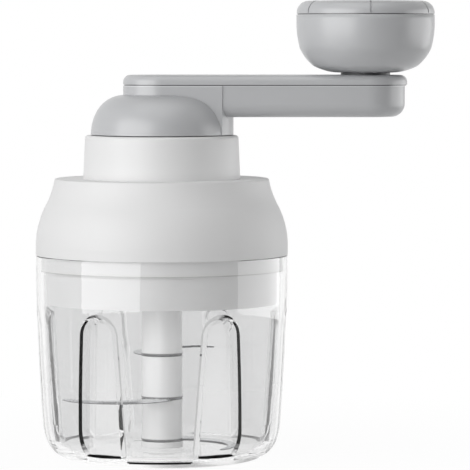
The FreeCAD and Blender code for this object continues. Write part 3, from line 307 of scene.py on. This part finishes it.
def clear_plastic(name, skin, lining):
    """Clear moulded bowl: faint scuffs, a soft ripple and a slightly smoky lining inside.

    Shadow and diffuse rays pass straight through, so that the lamps reach the blades. So do
    all rays at the underside, which touches the table, and most rays at the open sides of the
    flutes. The ledges and the shelf's edge in front are painted nearly black, as painted shade
    where they turn the light aside.
    """
    made, tree = new_material(name)
    point = BowlPoint(tree)
    smoky = tree.product(tree.fall(point.reach, INNER_TO_OUTER),
                         tree.ramp(point.radius, *FLUTE_TO_WALL, SMOKE_IN_FLUTES, 1.0))
    scuffs = tree.noise(scale=1400.0, detail=3.0, roughness=0.7,
                        vector=tree.stretched(z=0.15))
    ripple = tree.noise(scale=22.0, detail=1.0)
    clear = tree.add("ShaderNodeBsdfPrincipled", {
        "Base Color": tree.colours(smoky, skin, lining),
        "Roughness": tree.rise(scuffs, SCUFFED, top=SCUFF_ROUGHNESS), "IOR": 1.52,
        "Transmission Weight": 1.0,
        "Normal": tree.bump(ripple, distance=0.00002, strength=0.15)})
    # Painted shade: the ledges and the shelf's edge let rays through nearly black.
    painted_dark = tree.largest(foot_ledges(tree, point), shelf_line(tree, point))
    path = tree.add("ShaderNodeLightPath").outputs
    straight = tree.largest(open_sides(tree, point), tree.fall(point.upward, UNDERSIDE), painted_dark,
                            path["Is Shadow Ray"], path["Is Diffuse Ray"])
    passing = tree.add("ShaderNodeBsdfTransparent", {
        "Color": tree.colours(painted_dark, (1, 1, 1), LEDGE_PAINTED_DARK)})
    tree.surface(tree.mixed_shader(straight, clear, passing))
    return made


# ---------------------------------------------------------------- painted shade and highlight along the joints

# Each line: from where to where it reaches, measured up from its joint, and the share of the
# colour left there. All are painted: the seam's shade and the post's and gasket's joint lines
# paint the shade that falls in a joint, and the seam's edge paints a highlight on the lower
# piece's top edge.
SEAM_SHADE = (-0.0001, 0.00036, 0.35)
SEAM_HIGHLIGHT = (-0.00035, -0.00004, 1.3)
POST_JOINT_SHADE = (0.0, 0.0004, 0.2)
GASKET_JOINT_SHADE = (0.0, 0.0003, 0.72)


def strip(level, line):
    """A painted shade or highlight line along the joint at a level, as the piece's material
    takes it.
    """
    low, high, share = line
    return level + low, level + high, share


def seam_level(below, above):
    """Level of the joint on top of one piece, in the coordinates of the piece above it."""
    top = max((nodes[below].matrix_world @ corner.co).z for corner in nodes[below].data.vertices)
    return (nodes[above].matrix_world.inverted() @ Vector((0, 0, top))).z


def seam_shade_and_highlight(below, above):
    """Painted shade line at the foot of the upper piece, painted highlight on top of the lower
    one.
    """
    return {above: [strip(seam_level(below, above), SEAM_SHADE)],
            below: [strip(seam_level(below, below), SEAM_HIGHLIGHT)]}


def foot_shade(name, line):
    """Painted shade line at the foot of a piece, where it sits on what is below it."""
    foot = min(corner.co.z for corner in nodes[name].data.vertices)
    return [strip(foot, line)]


# Painted shade and highlight lines at the seams of the arm and the knob, and painted shade at
# the post's joints.
painted_joint_strips = {**seam_shade_and_highlight("arm_shell", "arm_cover"), **seam_shade_and_highlight("knob_shell", "knob_cap")}
# Each post piece has a painted shade line at its foot, where it sits on a blade.
for post_piece in ("sleeve_upper", "spacer_middle", "spacer_lower"):
    painted_joint_strips[post_piece] = foot_shade(post_piece, POST_JOINT_SHADE)


# ---------------------------------------------------------------- finish of each piece

WHITE = (0.80, 0.80, 0.80)
# A lighter copy of the white for the plug and post inside the bowl: painted light that makes up
# for the light the bowl keeps from them.
WHITE_WITH_PAINTED_LIGHT = shade(WHITE, 1.18)
GREY = (0.497, 0.503, 0.514)
GREY_PLASTIC = {"tone": GREY, "roughness": 0.3, "variation": 0.008, "ior": 1.62}
POST_PLASTIC = {"tone": WHITE_WITH_PAINTED_LIGHT, "roughness": 0.3, "variation": 0.01, "coat": 1.0}
KNOB_BLEND = 0.003

finishes = {
    "clear_bowl": clear_plastic("clear_bowl", skin=(0.97, 0.97, 0.97),
                                lining=(0.68, 0.682, 0.685)),
    "white_gloss": plastic("white_gloss", WHITE, roughness=0.48, variation=0.012),
    "white_collar": plastic("white_collar", WHITE, roughness=0.42, variation=0.012),
    "white_plug": plastic("white_plug", WHITE_WITH_PAINTED_LIGHT, roughness=0.4, variation=0.01),
    "white_post": plastic("white_post", **POST_PLASTIC),
    "grey_dome": plastic("grey_dome", **GREY_PLASTIC),
    # The blades' cut edges carry painted shade.
    "blade_steel": metal("blade_steel", (0.70, 0.71, 0.72), roughness=0.22,
                         brush=(1.0, 0.06, 1.0), cut_edge_shade=0.3),
    "pin_steel": metal("pin_steel", (0.72, 0.73, 0.74), roughness=0.14,
                       brush=(1.0, 1.0, 0.1)),
    "screw_steel": metal("screw_steel", (0.62, 0.63, 0.64), roughness=0.28),
    "gear_acetal": plastic("gear_acetal", (0.78, 0.77, 0.72), roughness=0.45),
    "deck_plastic": plastic("deck_plastic", (0.70, 0.70, 0.70), roughness=0.45),
    "bush_plastic": plastic("bush_plastic", (0.10, 0.105, 0.11), roughness=0.4),
    "shaft_plastic": plastic("shaft_plastic", (0.20, 0.205, 0.21), roughness=0.4),
    # The gasket has a painted shade line at its foot, where it sits on the bowl's ledge.
    "seal_rubber": rubber("seal_rubber", (0.94, 0.94, 0.93),
                          strips=foot_shade("gasket_ring", GASKET_JOINT_SHADE)),
}


def piece_finish(name, slot):
    """The finish of its slot, or one of its own for a piece that has painted shade or highlight
    lines along a joint.
    """
    if name not in painted_joint_strips:
        return finishes[slot]
    settings = {"grey_arm": GREY_PLASTIC, "white_post": POST_PLASTIC}[slot]
    blend = KNOB_BLEND if name == "knob_shell" else 0.0
    return plastic(f"{slot}_{name}", strips=painted_joint_strips[name], blend=blend, **settings)


for part in subparts:
    name, slot = part["node"], part["material_slot"]
    finish = piece_finish(name, slot)
    nodes[name].data.materials.clear()
    nodes[name].data.materials.append(finish)


# ---------------------------------------------------------------- floor and world

FLOOR_RADIUS, FLOOR_CORNERS = 0.5, 96
FLOOR_LEVEL = -0.0001
WORLD_LIGHT = 0.11

# The floor is a little less white near the part, and plain white beyond the second radius.
FLOOR_FADE = (0.06, 0.22)
NEAR_WHITE = 0.96

# A soft dark patch stands 38 degrees right of the front. The limits are on the cosine from it.
PATCH_TOWARDS = (0.616, -0.788, 0.0)
PATCH_EDGE = (0.64, 0.88)
PATCH_LIGHT = 0.1


def seen_share(tree, direction):
    """Share of the white surround that a ray meets.

    Rays from the camera and rays through the bowl meet all of it, reflections all but the dark
    patch, and other rays none.
    """
    path = tree.add("ShaderNodeLightPath").outputs
    across = tree.vector("DOT_PRODUCT", direction, PATCH_TOWARDS, "Value")
    reflected = tree.product(path["Is Glossy Ray"],
                             tree.fall(across, PATCH_EDGE, rest=PATCH_LIGHT))
    return tree.largest(reflected, path["Is Camera Ray"], path["Is Transmission Ray"])


def floor_material():
    """Pale floor: plain white where it is seen, mirrored or looked at through the bowl."""
    made, tree = new_material("studio_floor")
    seen = seen_share(tree, tree.vector("NORMALIZE", tree.position()))
    speckle = tree.noise(scale=240.0, detail=3.0)
    matte = tree.add("ShaderNodeBsdfDiffuse", {
        "Color": tree.colours(speckle, (0.86, 0.86, 0.86), (0.90, 0.90, 0.90)),
        "Roughness": 0.6})
    glow = tree.add("ShaderNodeEmission", {"Color": (1, 1, 1, 1), "Strength": 1.0})
    radius = tree.vector("LENGTH", tree.position(), output="Value")
    share = tree.ramp(radius, *FLOOR_FADE, NEAR_WHITE, 1.0)
    tree.surface(tree.mixed_shader(tree.product(seen, share), matte, glow))
    return made


def make_floor():
    """Round table top, small enough for the soft boxes to reach below its level."""
    mesh = bpy.data.meshes.new("studio_floor")
    turns = [2 * math.pi * number / FLOOR_CORNERS for number in range(FLOOR_CORNERS)]
    mesh.from_pydata([(FLOOR_RADIUS * math.cos(turn), FLOOR_RADIUS * math.sin(turn), 0)
                      for turn in turns], [], [range(FLOOR_CORNERS)])
    floor = bpy.data.objects.new("studio_floor", mesh)
    floor.location.z = FLOOR_LEVEL
    scene.collection.objects.link(floor)
    mesh.materials.append(floor_material())


def make_world():
    """White surround where it is seen or mirrored, and a weak even light on matt surfaces."""
    world = bpy.data.worlds.new("studio")
    world.use_nodes = True
    scene.world = world
    tree = Tree(world.node_tree)
    seen = seen_share(tree, tree.add("ShaderNodeTexCoord").outputs["Generated"])
    sky = tree.add("ShaderNodeBackground", {
        "Color": (1, 1, 1, 1), "Strength": tree.ramp(seen, 0.0, 1.0, WORLD_LIGHT, 1.0)})
    tree.add("ShaderNodeOutputWorld", {"Surface": sky.outputs[0]})


# ---------------------------------------------------------------- lamps and camera

LAMP_TARGET = Vector((0.0, 0.0, 0.08))
LAMP_DISTANCE = 1.3
CAMERA_PLACE = Vector((0.0249, -1.139, 0.143))
CAMERA_TARGET = Vector((0.0249, 0.0, 0.0764))


def facing(away):
    """Rotation of a lamp or camera that stands in a direction and looks back along it."""
    return away.to_track_quat("Z", "Y").to_euler()


def lamp(name, azimuth, elevation, width, height, power):
    """Soft box aimed at the middle of the object. Azimuth 0 is the front, 90 the right."""
    data = bpy.data.lights.new(name, "AREA")
    data.shape = "RECTANGLE"
    data.size = width
    data.size_y = height
    data.energy = power
    light = bpy.data.objects.new(name, data)
    turn, rise = math.radians(azimuth), math.radians(elevation)
    away = Vector((math.sin(turn) * math.cos(rise), -math.cos(turn) * math.cos(rise),
                   math.sin(rise)))
    light.location = LAMP_TARGET + away * LAMP_DISTANCE
    light.rotation_euler = facing(away)
    light.visible_camera = False
    light.visible_transmission = False
    scene.collection.objects.link(light)
    return light


def make_lamps():
    """Five soft boxes. Reflections don't see the fill, and the last lights the post alone."""
    lamp("key", azimuth=-47, elevation=10, width=1.5, height=1.2, power=16.2)
    lamp("rim", azimuth=105, elevation=3, width=1.6, height=0.7, power=6.8)
    lamp("top", azimuth=-20, elevation=75, width=1.2, height=1.2, power=4.5)
    fill = lamp("fill", azimuth=15, elevation=8, width=1.2, height=1.2, power=0.75)
    fill.visible_glossy = False
    post = bpy.data.collections.new("lit_inside")
    for part in subparts:
        if part["material_slot"] == "white_post":
            post.objects.link(nodes[part["node"]])
    inside = lamp("inside", azimuth=-18, elevation=5, width=0.5, height=0.5, power=4.0)
    inside.light_linking.receiver_collection = post


def make_camera():
    data = bpy.data.cameras.new("camera")
    data.sensor_width = 36.0
    data.lens = 256.6
    data.clip_start = 0.05
    data.clip_end = 30.0
    camera = bpy.data.objects.new("camera", data)
    camera.location = CAMERA_PLACE
    camera.rotation_euler = facing(CAMERA_PLACE - CAMERA_TARGET)
    scene.collection.objects.link(camera)
    scene.camera = camera


make_floor()
make_world()
make_lamps()
make_camera()

scene.view_settings.view_transform = "Standard"
